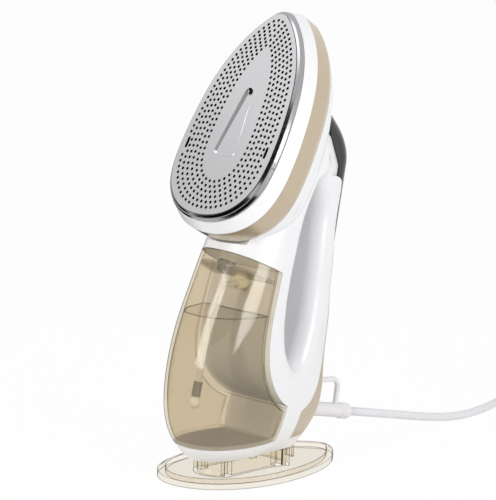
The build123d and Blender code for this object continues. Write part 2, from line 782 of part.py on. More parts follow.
def cord_clamp():
    return Pos(0, 43, 36.5) * Box(17, 6, 7) - RELIEF * extrude(Circle(CORD_RADIUS), -12)


def stand():
    """A pointed tray with a bevelled rim, a hollow collar under the foot, four posts and a rear tab."""
    def outline(inset):
        half_length = STAND_HALF_LENGTH - inset
        return make_face(teardrop(STAND_FORM, STAND_HALF_WIDTH - inset, -half_length, half_length))

    tray = extrude(outline(0), STAND_SIDE)
    tray = tray + loft([Pos(0, 0, STAND_SIDE) * outline(0), Pos(0, 0, STAND_RIM) * outline(STAND_BEVEL)])
    tray = tray - Pos(0, 0, STAND_FLOOR) * extrude(outline(STAND_BEVEL + 1.6), STAND_RIM)
    nose = ThreePointArc((0, -48), (9.5, -45), (16.2, -38))
    tail = ThreePointArc((19, 18), (10.5, 23), (0, 24.5))
    ring = whole([nose, Polyline((16.2, -38), (14.8, 2), (19, 18)), tail])
    ring = ring - offset(ring, -COLLAR_WALL)
    tray = tray + Pos(0, 0, STAND_FLOOR) * extrude(ring, FOOT - STAND_FLOOR)
    for x, y in POST_PLACES:
        for side in (-x, x):
            tray = tray + Pos(side, y, (STAND_FLOOR + POST_TOP) / 2) * Box(POST, POST, POST_TOP - STAND_FLOOR)
    tab_high = FOOT - 1 - STAND_FLOOR
    return tray + Pos(0, TAB_Y, STAND_FLOOR + tab_high / 2) * Box(TAB_WIDE, 2, tab_high)


def coil_entry(middle):
    """Where a line from the cord's last bend touches the coil's outer turn, which runs clockwise."""
    across, along = COIL_CENTRE[0] - middle.X, COIL_CENTRE[1] - middle.Y
    away = hypot(across, along)
    heading = atan2(across, along) - asin(COIL_OUTER / away)
    way = Vector(sin(heading), cos(heading), 0)
    return middle + way * sqrt(away**2 - COIL_OUTER**2), way


def cord_points():
    """From the strain relief straight down to the floor, then a slow bend towards the coil."""
    start = RELIEF.from_local_coords((0, 0, RELIEF_LONG))
    down = RELIEF.z_dir
    landing = start + down * ((start.Z - CORD_FLOOR) / -down.Z)
    bend = radians(8)
    middle = landing + Vector(-sin(bend), cos(bend), 0) * 55
    entry, way = coil_entry(middle)
    return [start, landing, middle, entry - way * 2 * CORD_RADIUS], entry, way


def fillet_radii(points):
    """The largest bends that the runs allow: 0.45 of the shorter run over the tangent of half the turn."""
    radii = []
    for before, here, after in zip(points, points[1:], points[2:]):
        one, two = here - before, after - here
        radii.append(0.45 * min(one.length, two.length) / tan(radians(one.get_angle(two)) / 2))
    return radii


def cord_run():
    points, entry, way = cord_points()
    radii = fillet_radii(points)
    print("cord run radii", [round(radius) for radius in radii])
    path = FilletPolyline(*points, radius=radii)
    return tube(path, CORD_RADIUS), path.length


def coil_place(turn, first, per_layer, step):
    """The coil's middle line after some turns: it spirals in and out, and climbs a layer at each reversal."""
    layer = int(turn / per_layer)
    into = turn - layer * per_layer
    swing = COIL_PITCH * (per_layer - into if layer % 2 else into)
    height = layer
    nearest = round(turn / per_layer)
    if 0 < nearest < COIL_LAYERS and abs(turn - nearest * per_layer) < step:
        off = turn - nearest * per_layer
        inward = COIL_PITCH * (off * off / (2 * step) + step / 2)
        swing = COIL_PITCH * per_layer - inward if nearest % 2 else inward
        rise = (off + step) / (2 * step)
        height = nearest - 1 + rise * rise * (3 - 2 * rise)
    radius = COIL_OUTER - swing
    angle = first - 2 * pi * turn
    x, y = COIL_CENTRE[0] + radius * cos(angle), COIL_CENTRE[1] + radius * sin(angle)
    return Vector(x, y, CORD_FLOOR + COIL_PITCH * height)


def biarc(start, start_way, end, end_way):
    """Two tangent arcs between two points with given directions."""
    chord, both = end - start, start_way + end_way
    open_by = 2 * (1 - start_way.dot(end_way))
    dot = chord.dot(both)
    reach = (sqrt(dot * dot + open_by * chord.dot(chord)) - dot) / open_by
    joint = (start + start_way * reach + end - end_way * reach) * 0.5
    first = Edge.make_tangent_arc(start, start_way, joint)
    return [first, Edge.make_tangent_arc(joint, first % 1, end)]


def coil_wire():
    """One unbroken line: a straight lead, four layers of turns, and a tail that comes down to the plug."""
    _, entry, way = cord_points()
    first = atan2(entry.Y - COIL_CENTRE[1], entry.X - COIL_CENTRE[0]) % (2 * pi)
    turns = COIL_TURNS + (first - radians(COIL_END_TURN)) / (2 * pi)
    per_layer = turns / COIL_LAYERS
    step = per_layer / COIL_STEPS
    count = COIL_LAYERS * COIL_STEPS
    places = [coil_place(index * step, first, per_layer, step) for index in range(count + 1)]
    ways = [way]
    for index in range(1, count):
        before = coil_place((index - 0.02) * step, first, per_layer, step)
        after = coil_place((index + 0.02) * step, first, per_layer, step)
        ways.append((after - before).normalized())
    ways.append(Vector(0, 1, 0))
    edges = [Line(entry - way * 2 * CORD_RADIUS, entry)]
    for index in range(count):
        edges += biarc(places[index], ways[index], places[index + 1], ways[index + 1])
    tail = [places[-1] + Vector(0, y, drop) for y, drop in ((0, 0), (24, 0), (70, 0), (86, 0))]
    tail[2].Z = tail[3].Z = PLUG_HIGH / 2
    radii = fillet_radii(tail)
    print("cord tail radii", [round(radius) for radius in radii])
    return Wire(edges + FilletPolyline(*tail, radius=radii).edges()), tail[-1]


def least_gap(wire, radius):
    """The least clear distance between stretches of one tube that are further apart along it."""
    count = round(wire.length / 2.5)
    spots = [tuple(wire.position_at(index / count)) for index in range(count + 1)]
    apart = 14
    gaps = [dist(one, two) for index, one in enumerate(spots) for two in spots[index + apart :]]
    return min(gaps) - 2 * radius


def cord_plug(end):
    """A moulded two-blade plug that lies on the floor at the cord's end."""
    base = Plane(origin=end, x_dir=(1, 0, 0), z_dir=(0, 1, 0))
    grip = RectangleRounded(PLUG_WIDE, PLUG_HIGH, 6)
    neck = loft([base * Circle(4.6), base.offset(PLUG_LONG * 0.45) * grip])
    body = neck + base.offset(PLUG_LONG * 0.45) * extrude(grip, PLUG_LONG * 0.55)
    blade = extrude(Rectangle(1.5, 6.3), 17)
    blades = [base.offset(PLUG_LONG) * Pos(x, 0) * blade for x in (-6.35, 6.35)]
    return body, Compound(children=blades)


form = loop_half(0, 0, OPENING_ROUND)
room = loop_half(WALL, OPENING_WALL, OPENING_ROUND - WALL)
hollow = room - side_block(tank_profile(SEAM + WALL)) - shoulder_cut(WALL)
skin = form - side_block(tank_profile(SEAM)) - hollow
half = housing(skin, hollow)
save(screw_holes(half, True), "housing_right")
save(screw_holes(half, False).mirror(SIDE), "housing_left")
save(rear_cover(skin, hollow), "rear_cover")
save(housing_screws(), "housing_screws")

save(control_spine(), "control_spine")
save(control_board(), "control_board")
save(board_screws(), "board_screws")
save(button(BUTTONS_UP[1]), "power_button")
save(button(BUTTONS_UP[0]), "steam_button")
save(key_domes(), "key_domes")
save(indicator_lens(), "indicator_lens")

save(soleplate(), "soleplate")
save(soleplate_rim(), "soleplate_rim")
save(head_ring(), "head_ring")
save(head_band(), "head_band")
save(heater_plate(), "heater_plate")
save(heating_element(), "heating_element")
save(chamber_gasket(), "chamber_gasket")
save(chamber_cover(), "chamber_cover")
save(thermostat(), "thermostat")
save(thermal_fuse(), "thermal_fuse")
save(heat_shield(), "heat_shield")
save(head_screws(), "head_screws")

tank_hollow = body_stack(TANK_WALL) & above_floor()
save(tank_shell(form, tank_hollow), "tank_shell")
save(tank_back(form, tank_hollow), "tank_back")
save(tank_lid(tank_hollow), "tank_lid")
save(tank_port(), "tank_port")
save(tank_plug(), "tank_plug")
save(pickup_hose(), "pickup_hose")
save(pickup_sleeve(), "pickup_sleeve")
save(pickup_ball(), "pickup_ball")

save(inlet_spigot(), "inlet_spigot")
save(water_pump(), "water_pump")
save(pump_mounts(), "pump_mounts")
save(inlet_hose(), "inlet_hose")
save(feed_hose(), "feed_hose")

save(strain_relief(), "strain_relief")
save(cord_clamp(), "cord_clamp")
save(stand(), "stand")

run, run_length = cord_run()
wire, cord_end = coil_wire()
plug, plug_blades = cord_plug(cord_end)
save(run, "cord_run")
save(tube(wire, CORD_RADIUS), "cord_coil")
save(plug, "plug")
save(plug_blades, "plug_blades")
print("cord length", round(run_length + wire.length), "coil gap", round(least_gap(wire, CORD_RADIUS), 2))
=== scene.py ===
"""Garment steamer: a leaning perforated soleplate on a loop handle, a smoky water tank and a clear stand."""

from math import cos, pi, radians, sin, tan

import bmesh
import bpy
from mathutils import Matrix, Vector
from mathutils.bvhtree import BVHTree


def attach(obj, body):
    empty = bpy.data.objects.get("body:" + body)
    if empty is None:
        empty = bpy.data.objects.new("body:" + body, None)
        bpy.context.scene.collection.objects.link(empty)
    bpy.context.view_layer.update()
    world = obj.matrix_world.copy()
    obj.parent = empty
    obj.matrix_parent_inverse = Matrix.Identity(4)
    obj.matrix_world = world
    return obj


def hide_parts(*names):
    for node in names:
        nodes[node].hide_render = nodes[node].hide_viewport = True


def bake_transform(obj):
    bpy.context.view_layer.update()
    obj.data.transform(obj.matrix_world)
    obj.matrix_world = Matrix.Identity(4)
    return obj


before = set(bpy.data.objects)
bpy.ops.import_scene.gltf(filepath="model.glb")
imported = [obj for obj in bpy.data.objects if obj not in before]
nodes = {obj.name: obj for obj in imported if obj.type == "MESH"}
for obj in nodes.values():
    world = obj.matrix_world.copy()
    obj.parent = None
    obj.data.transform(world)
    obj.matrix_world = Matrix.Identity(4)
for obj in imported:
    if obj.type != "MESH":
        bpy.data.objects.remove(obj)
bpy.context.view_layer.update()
mm = 0.001


# The studio: a long lens from the front right, a little above the soleplate's heel. White paper lies under the
# stand, soft lamps stand in front, at the right and overhead, and black cards give the metal its dark lines.
CAMERA_TURN = radians(45.6)
CAMERA_RISE = radians(9.0)
CAMERA_ROLL = radians(1.83)
CAMERA_AWAY = 1400 * mm
VIEW_HEIGHT = 330 * mm
LOOK_AT = Vector((20.7, -30, 156.5)) * mm
PAPER_REACH = 40.0
PAPER_DROP = -0.3 * mm
PAPER_GLOW = 0.97
ROOM_FILL = 0.33


def linear(code):
    """An sRGB hex colour as linear red, green, blue and alpha."""
    parts = [int(code[place : place + 2], 16) / 255 for place in (1, 3, 5)]
    return [part / 12.92 if part <= 0.04045 else ((part + 0.055) / 1.055) ** 2.4 for part in parts] + [1.0]


def add(tree, kind, links=None, inputs=None, **settings):
    """Adds a node, with its settings, its fixed inputs and the outputs that are linked into it."""
    made = tree.nodes.new("ShaderNode" + kind)
    for name, value in settings.items():
        setattr(made, name, value)
    for name, value in (inputs or {}).items():
        made.inputs[name].default_value = value
    for name, output in (links or {}).items():
        tree.links.new(output, made.inputs[name])
    return made


def new_material(name):
    made = bpy.data.materials.new(name)
    made.use_nodes = True
    made.node_tree.nodes.clear()
    return made, made.node_tree


def seen_directly(tree):
    """One for rays that show the background: from the camera, off a gloss or through a clear wall."""
    path = add(tree, "LightPath")
    rays = [path.outputs[f"Is {kind} Ray"] for kind in ("Camera", "Glossy", "Transmission")]
    both = add(tree, "Math", {0: rays[0], 1: rays[1]}, operation="MAXIMUM")
    return add(tree, "Math", {0: both.outputs[0], 1: rays[2]}, operation="MAXIMUM")


def camera():
    away = Vector((sin(CAMERA_TURN) * cos(CAMERA_RISE), -cos(CAMERA_TURN) * cos(CAMERA_RISE), sin(CAMERA_RISE)))
    level = Vector((cos(CAMERA_TURN), sin(CAMERA_TURN), 0))
    upright = away.cross(level)
    right = level * cos(CAMERA_ROLL) + upright * sin(CAMERA_ROLL)
    up = away.cross(right)
    lens = bpy.data.cameras.new("camera")
    lens.sensor_fit = "VERTICAL"
    lens.sensor_height = 24
    lens.lens = lens.sensor_height * CAMERA_AWAY / VIEW_HEIGHT
    made = bpy.data.objects.new("camera", lens)
    place = Matrix((right, up, away)).transposed().to_4x4()
    place.translation = LOOK_AT + away * CAMERA_AWAY
    made.matrix_world = place
    bpy.context.scene.collection.objects.link(made)
    bpy.context.scene.camera = made


def softbox(name, place, aim, size, watts):
    lamp = bpy.data.lights.new(name, "AREA")
    lamp.size = size
    lamp.energy = watts
    made = bpy.data.objects.new(name, lamp)
    made.location = place
    made.rotation_euler = (Vector(aim) - Vector(place)).to_track_quat("-Z", "Y").to_euler()
    bpy.context.scene.collection.objects.link(made)


def dark_card(name, place, facing, wide, high, cover=1.0):
    """A black card, or a scrim that covers less, which only shows in reflections and from one side."""
    black, tree = new_material("black_card")
    matt = add(tree, "BsdfDiffuse", inputs={"Color": linear("#0A0A0A")})
    away = add(tree, "BsdfTransparent")
    back = add(tree, "NewGeometry")
    share = add(tree, "Math", {0: back.outputs["Backfacing"]}, {1: -cover, 2: cover}, operation="MULTIPLY_ADD")
    sided = add(tree, "MixShader", {0: share.outputs[0], 1: away.outputs[0], 2: matt.outputs[0]})
    add(tree, "OutputMaterial", {"Surface": sided.outputs[0]})
    shape = bpy.data.meshes.new(name)
    corners = [(x * wide / 2, y * high / 2, 0) for x, y in ((-1, -1), (1, -1), (1, 1), (-1, 1))]
    shape.from_pydata(corners, [], [(0, 1, 2, 3)])
    shape.materials.append(black)
    card = bpy.data.objects.new(name, shape)
    card.location = place
    card.rotation_euler = Vector(facing).to_track_quat("Z", "Y").to_euler()
    card.visible_camera = card.visible_diffuse = card.visible_transmission = card.visible_shadow = False
    bpy.context.scene.collection.objects.link(card)


def studio():
    """Paper sweep, white room, lamps and cards."""
    paper, tree = new_material("white_paper")
    matt = add(tree, "BsdfDiffuse", inputs={"Color": linear("#F4F4F4")})
    glow = add(tree, "Emission", inputs={"Color": (1, 1, 1, 1), "Strength": 1.0})
    share = add(tree, "Math", {0: seen_directly(tree).outputs[0]}, {1: PAPER_GLOW}, operation="MULTIPLY")
    mixed = add(tree, "MixShader", {0: share.outputs[0], 1: matt.outputs[0], 2: glow.outputs[0]})
    add(tree, "OutputMaterial", {"Surface": mixed.outputs[0]})
    shape = bpy.data.meshes.new("paper")
    corners = [(x * PAPER_REACH, y * PAPER_REACH, PAPER_DROP) for x, y in ((-1, -1), (1, -1), (1, 1), (-1, 1))]
    shape.from_pydata(corners, [], [(0, 1, 2, 3)])
    shape.materials.append(paper)
    floor = bpy.data.objects.new("paper", shape)
    bpy.context.scene.collection.objects.link(floor)

    world = bpy.data.worlds.new("white_room")
    world.use_nodes = True
    tree = world.node_tree
    tree.nodes.clear()
    fill = add(tree, "Background", inputs={"Color": (1, 1, 1, 1), "Strength": ROOM_FILL})
    back = add(tree, "Background", inputs={"Color": (1, 1, 1, 1), "Strength": 1.0})
    mixed = add(tree, "MixShader", {0: seen_directly(tree).outputs[0], 1: fill.outputs[0], 2: back.outputs[0]})
    add(tree, "OutputWorld", {"Surface": mixed.outputs[0]})
    bpy.context.scene.world = world

    softbox("key_lamp", (-0.1, -1.8, 0.75), (0, 0, 0.15), 0.9, 18)
    softbox("side_lamp", (1.5, 0.1, 0.5), (0, 0, 0.15), 0.7, 11)
    softbox("top_lamp", (0.1, 0.1, 1.7), (0, 0, 0.15), 1.2, 8)
    dark_card("low_card", (0.05, -0.33, 0.1), (0, 0, 1), 0.5, 0.46)
    dark_card("tall_card", (0.95, -0.45, 0.72), (-0.84, 0.37, -0.42), 0.8, 0.7)
    dark_card("sole_card", (0.62, -0.97, 0.77), (-0.5, 0.75, -0.43), 0.8, 0.7)
    dark_card("left_card", (-0.22, 0.06, 0.06), (0.8, -0.45, 0.4), 0.4, 0.3)
    dark_card("sole_scrim", (-0.282, -0.28, 0.32), (0.706, 0.505, -0.496), 0.5, 0.26, 0.3)


bpy.context.scene.view_settings.view_transform = "Standard"
camera()
studio()


# The mains cord: a round two-core lead in soft white PVC. It leaves the strain relief in a straight slope,
# reaches the floor and is wound up for storage behind the steamer, with a strap around the turns.
CORD_RADIUS = 3.1
CORD_SIDES = 24
CORD_GROOVE = 0.16
CORD_FLOOR = 3.3
CORD_RUN = [(0, 94.14, 26.03), (0, 140, 17.1), (0, 211.1, 3.3), (-7.65, 265.5, 3.3)]
COIL_CENTRE = (12.0, 338.0)
COIL_OUTER = 44.6
COIL_PITCH = 6.9
COIL_LAYERS = 4
COIL_TURNS = 11.059
COIL_START = radians(201.3)
COIL_STEPS = 20
COIL_CLIMB = 0.25
CORD_TAIL = [(-32.6, 362, 24.0), (-32.6, 408, 8.5), (-32.6, 424, 8.5)]


def coil_points():
    """The coil's turns: they spiral in and out again, and climb a layer at each reversal."""
    per_layer = COIL_TURNS / COIL_LAYERS
    points = []
    for index in range(round(COIL_TURNS * COIL_STEPS) + 1):
        turn = min(index / COIL_STEPS, COIL_TURNS)
        layer = min(int(turn / per_layer), COIL_LAYERS - 1)
        into = turn - layer * per_layer
        swing = COIL_PITCH * (per_layer - into if layer % 2 else into)
        nearest = round(turn / per_layer)
        height = layer
        off = turn - nearest * per_layer
        if 0 < nearest < COIL_LAYERS and abs(off) < COIL_CLIMB:
            inward = COIL_PITCH * (off * off / (2 * COIL_CLIMB) + COIL_CLIMB / 2)
            swing = COIL_PITCH * per_layer - inward if nearest % 2 else inward
            rise = (off + COIL_CLIMB) / (2 * COIL_CLIMB)
            height = nearest - 1 + rise * rise * (3 - 2 * rise)
        radius = COIL_OUTER - swing
        angle = COIL_START - 2 * pi * turn
        spot = (COIL_CENTRE[0] + radius * cos(angle), COIL_CENTRE[1] + radius * sin(angle))
        points.append((*spot, CORD_FLOOR + COIL_PITCH * height))
    return points


def smooth_line(points):
    """Points along the smooth curve that a list of points in millimetres steers."""
    curve = bpy.data.curves.new("line", "CURVE")
    curve.dimensions = "3D"
    spline = curve.splines.new("NURBS")
    spline.points.add(len(points) - 1)
    for spot, place in zip(spline.points, points):
        spot.co = (*[value * mm for value in place], 1)
    spline.order_u = 3
    spline.use_endpoint_u = True
    spline.resolution_u = 5
    holder = bpy.data.objects.new("line", curve)
    bpy.context.scene.collection.objects.link(holder)
    bpy.context.view_layer.update()
    shape = bpy.data.meshes.new_from_object(holder)
    line = [vertex.co.copy() for vertex in shape.vertices]
    bpy.data.objects.remove(holder)
    bpy.data.meshes.remove(shape)
    return line


def tube_mesh(name, line, section):
    """A closed tube: a section, given as (angle, radius) pairs, carried along a line without twist."""
    shape = bmesh.new()
    side = Vector((1, 0, 0))
    rings = []
    for index, place in enumerate(line):
        ahead, behind = line[min(index + 1, len(line) - 1)], line[max(index - 1, 0)]
        way = (ahead - behind).normalized()
        side = (side - way * side.dot(way)).normalized()
        up = way.cross(side)
        rings.append([shape.verts.new(place + (side * cos(a) + up * sin(a)) * r) for a, r in section])
    for one, two in zip(rings, rings[1:]):
        for index in range(len(section)):
            after = (index + 1) % len(section)
            shape.faces.new((one[index], one[after], two[after], two[index])).smooth = True
    shape.faces.new(reversed(rings[0]))
    shape.faces.new(rings[-1])
    made = bpy.data.meshes.new(name)
    shape.to_mesh(made)
    shape.free()
    piece = bpy.data.objects.new(name, made)
    bpy.context.scene.collection.objects.link(piece)
    return piece


def moulded(name, colour, roughness, grain_mm=0.6, relief=0.03, coat=0.0):
    """A moulded plastic: an even colour and a faint unevenness of the skin, which breaks up its highlights."""
    made, tree = new_material(name)
    where = add(tree, "TexCoord")
    grain = add(
        tree,
        "TexNoise",
        {"Vector": where.outputs["Object"]},
        {"Scale": 1 / (grain_mm * mm), "Detail": 2.0},
    )
    sheen = add(
        tree,
        "MapRange",
        {"Value": grain.outputs[0]},
        {"From Min": 0.3, "From Max": 0.7, "To Min": roughness * 0.9, "To Max": roughness * 1.1},
    )
    skin = add(tree, "Bump", {"Height": grain.outputs[0]}, {"Strength": relief, "Distance": 0.1 * mm})
    plastic = add(
        tree,
        "BsdfPrincipled",
        {"Roughness": sheen.outputs[0], "Normal": skin.outputs[0]},
        {"Base Color": linear(colour), "IOR": 1.5, "Coat Weight": coat, "Coat Roughness": 0.04},
    )
    add(tree, "OutputMaterial", {"Surface": plastic.outputs[0]})
    return made


def dress(material, *names):
    """Gives CAD nodes their finish."""
    for name in names:
        nodes[name].data.materials.clear()
        nodes[name].data.materials.append(material)


def cord(strap_piece):
    line = smooth_line(CORD_RUN + coil_points() + CORD_TAIL)
    section = []
    for index in range(CORD_SIDES):
        grooved = index % (CORD_SIDES // 2) == 3
        radius = CORD_RADIUS - (CORD_GROOVE if grooved else 0)
        section.append((2 * pi * index / CORD_SIDES, radius * mm))
    lead = tube_mesh("mains_cord", line, section)
    lead.data.materials.append(moulded("soft_white_pvc", "#E9E7EA", 0.42, 2.5, 0.02))
    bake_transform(lead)
    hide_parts("cord_run", "cord_coil")


# The strap that holds the put-away turns: a strip of black woven hook-and-loop tape, wrapped once around
# the bundle of cords at the coil's far side.
STRAP_WIDE = 12.0
STRAP_FACES = ((0.15, 0.1), (0.9, 0.03))
STRAP_UNDER = 0.18
STRAP_CORNER_STEPS = 4


def strap():
    """A closed band; each of its two faces has a distance from the cords and a least height above the floor."""
    inner = COIL_OUTER - COIL_PITCH * COIL_TURNS / COIL_LAYERS - CORD_RADIUS
    outer = COIL_OUTER + CORD_RADIUS
    top = CORD_FLOOR + COIL_PITCH * (COIL_LAYERS - 1) + CORD_RADIUS
    loop = []
    for x, z, turn in ((outer, top, 0), (inner, top, 90), (inner, STRAP_UNDER, 180), (outer, STRAP_UNDER, 270)):
        for step in range(STRAP_CORNER_STEPS + 1):
            angle = radians(turn + 90 * step / STRAP_CORNER_STEPS)
            loop.append((x, z, cos(angle), sin(angle)))
    shape = bmesh.new()
    rows = []
    for across in (-STRAP_WIDE / 2, STRAP_WIDE / 2):
        for thick, lowest in STRAP_FACES:
            row = []
            for x, z, out, up in loop:
                high = max(z + thick * up, lowest)
                spot = (COIL_CENTRE[0] + x + thick * out, COIL_CENTRE[1] + across, high)
                row.append(shape.verts.new([value * mm for value in spot]))
            rows.append(row)
    for one, two in ((rows[0], rows[1]), (rows[1], rows[3]), (rows[3], rows[2]), (rows[2], rows[0])):
        for index in range(len(loop)):
            after = (index + 1) % len(loop)
            shape.faces.new((one[index], one[after], two[after], two[index])).smooth = True
    bmesh.ops.recalc_face_normals(shape, faces=shape.faces)
    made = bpy.data.meshes.new("coil_strap")
    shape.to_mesh(made)
    shape.free()
    piece = bpy.data.objects.new("coil_strap", made)
    bpy.context.scene.collection.objects.link(piece)

    woven, tree = new_material("woven_nylon_tape")
    where = add(tree, "TexCoord")
    thread = add(
        tree,
        "TexWave",
        {"Vector": where.outputs["Object"]},
        {"Scale": 0.05 / (0.7 * mm), "Distortion": 1.5},
        bands_direction="DIAGONAL",
    )
    weave = add(tree, "Bump", {"Height": thread.outputs[0]}, {"Strength": 0.5, "Distance": 0.2 * mm})
    cloth = add(
        tree,
        "BsdfPrincipled",
        {"Normal": weave.outputs[0]},
        {"Base Color": linear("#2A2A2C"), "Roughness": 0.85, "Sheen Weight": 0.3},
    )
    add(tree, "OutputMaterial", {"Surface": cloth.outputs[0]})
    made.materials.append(woven)
    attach(piece, "stand")
    return piece


cord(strap())


# The plug: a moulded two-blade plug in the cord's own white PVC, with blades of plain brass.
dress(moulded("moulded_white_pvc", "#E4E2E6", 0.34, 0.8, 0.04), "plug")


def bare_metal(name, colour, roughness, grain_mm, relief):
    """A bare metal: its colour is its reflection, and fine pits from casting or drawing soften it."""
    made, tree = new_material(name)
    where = add(tree, "TexCoord")
    grain = add(
        tree,
        "TexNoise",
        {"Vector": where.outputs["Object"]},
        {"Scale": 1 / (grain_mm * mm), "Detail": 3.0},
    )
    haze = add(
        tree,
        "MapRange",
        {"Value": grain.outputs[0]},
        {"From Min": 0.3, "From Max": 0.7, "To Min": roughness * 0.8, "To Max": roughness * 1.2},
    )
    pits = add(tree, "Bump", {"Height": grain.outputs[0]}, {"Strength": relief, "Distance": 0.1 * mm})
    metal = add(
        tree,
        "BsdfPrincipled",
        {"Roughness": haze.outputs[0], "Normal": pits.outputs[0]},
        {"Base Color": linear(colour), "Metallic": 1.0},
    )
    add(tree, "OutputMaterial", {"Surface": metal.outputs[0]})
    return made


dress(bare_metal("plain_brass", "#C9B78A", 0.28, 0.5, 0.03), "plug_blades")


# The stand: a pointed tray moulded in clear pale amber SAN, with a hollow collar and posts under the steamer's
# foot.
# Its tint deepens edge on, partly from the longer path and partly as painted shade; dark lines at its rim and
# collar are painted shade.
def clear_plastic(name, passes, edge, roughness=0.04, shine=0.03, line_mm=0.5, haze=0.0):
    """A clear wall: its faces pass a tint, deeper edge on (longer path and painted shade) and at sharp edges
    (painted shade), with a slight mirror and haze.
    """
    made, tree = new_material(name)
    where = add(tree, "TexCoord")
    flow = add(tree, "TexNoise", {"Vector": where.outputs["Object"]}, {"Scale": 1 / (9 * mm), "Detail": 1.0})
    waves = add(tree, "Bump", {"Height": flow.outputs[0]}, {"Strength": 0.02, "Distance": 0.2 * mm})
    # Painted shade: the tint runs to the edge colour edge on, partly for the longer path and partly for light
    # bent away, and along sharp edges as dark lines.
    slant = add(tree, "LayerWeight", inputs={"Blend": 0.5})
    skimmed = add(tree, "MapRange", {"Value": slant.outputs["Facing"]}, {"From Min": 0.8, "From Max": 0.93})
    surface = add(tree, "NewGeometry")
    rounded = add(tree, "Bevel", inputs={"Radius": line_mm * mm}, samples=6)
    same = add(
        tree,
        "VectorMath",
        {0: surface.outputs["Normal"], 1: rounded.outputs[0]},
        operation="DOT_PRODUCT",
    )
    sharp_edge_shade = add(tree, "MapRange", {"Value": same.outputs["Value"]}, {"From Min": 0.99, "From Max": 0.8})
    edge_tint_and_shade = add(tree, "Math", {0: skimmed.outputs[0], 1: sharp_edge_shade.outputs[0]}, operation="MAXIMUM")
    tint = add(tree, "ValToRGB", {"Fac": edge_tint_and_shade.outputs[0]})
    tint.color_ramp.elements[0].color = linear(passes)
    tint.color_ramp.elements[1].color = linear(edge)
    clear = add(tree, "BsdfTransparent", {"Color": tint.outputs["Color"]})
    milk = add(tree, "BsdfDiffuse", inputs={"Color": linear("#EFE6D4")})
    body = add(tree, "MixShader", {1: clear.outputs[0], 2: milk.outputs[0]}, {0: haze})
    gloss = add(tree, "BsdfGlossy", {"Normal": waves.outputs[0]}, {"Roughness": roughness})
    mirror = add(
        tree,
        "MapRange",
        {"Value": slant.outputs["Facing"]},
        {"From Min": 0.5, "From Max": 1.0, "To Min": shine, "To Max": 4 * shine},
    )
    wall = add(tree, "MixShader", {0: mirror.outputs[0], 1: body.outputs[0], 2: gloss.outputs[0]})
    add(tree, "OutputMaterial", {"Surface": wall.outputs[0]})
    return made


def see_through(material, *names):
    """Dresses clear CAD nodes, and lets the lamps shine through them."""
    dress(material, *names)
    for name in names:
        nodes[name].visible_shadow = False


# The second colour is the edge colour: partly the deeper tint edge on, partly painted shade along the edges.
see_through(clear_plastic("clear_amber_san", "#FCF9F3", "#3E3722", line_mm=1.3), "stand")


# The housing: two half shells moulded in glossy white ABS, screwed together on the mirror plane around the
# pump and the hoses. The same ABS makes the flared ring that carries the soleplate's rim.
white_abs = moulded("glossy_white_abs", "#EFEFF1", 0.24, 1.2, 0.02)
dress(white_abs, "housing_left", "housing_right", "head_ring")


# The champagne trim: ABS with a satin metallic lacquer, on the band around the head and the cover over the
# cord's entry. Fine flakes in the lacquer glint; they are drawn coarser than life so that they show.
def metallic_lacquer(name, colour, flake_colour, flake_mm):
    made, tree = new_material(name)
    where = add(tree, "TexCoord")
    flakes = add(tree, "TexVoronoi", {"Vector": where.outputs["Object"]}, {"Scale": 1 / (flake_mm * mm)})
    tint = add(tree, "ValToRGB", {"Fac": flakes.outputs["Distance"]})
    tint.color_ramp.elements[0].color = linear(flake_colour)
    tint.color_ramp.elements[1].color = linear(colour)
    coat = add(
        tree,
        "BsdfPrincipled",
        {"Base Color": tint.outputs["Color"]},
        {"Metallic": 0.75, "Roughness": 0.32, "Coat Weight": 0.25, "Coat Roughness": 0.12},
    )
    add(tree, "OutputMaterial", {"Surface": coat.outputs[0]})
    return made


champagne = metallic_lacquer("champagne_lacquer", "#BDAD95", "#C9BBA5", 0.5)
dress(champagne, "head_band", "rear_cover")


# The soleplate: pressed aluminium with a pale satin ceramic coat, perforated in rows that follow its outline.
# A polished steel bevel frames it; the cast heater behind it is coloured near black, painted shade in the
# holes.
SOLE_LEAN = radians(28.6)
SOLE_FACING = Vector((0, -cos(SOLE_LEAN), sin(SOLE_LEAN)))
SOLE_UP = Vector((0, sin(SOLE_LEAN), cos(SOLE_LEAN)))
SOLE_CENTRE = Vector((0, -34.3, 220.5))
HOLE_EDGE = 0.5
HOLE_WALL_BELOW = 0.15
HOLE_ROLL_BELOW = 0.97
HOLE_FACE_ABOVE = 0.99
PLAIN_REACH = 11.6
PLAIN_TAPER = 0.145
PLAIN_MIDDLE = 21.5
PLAIN_HALF = 25.8


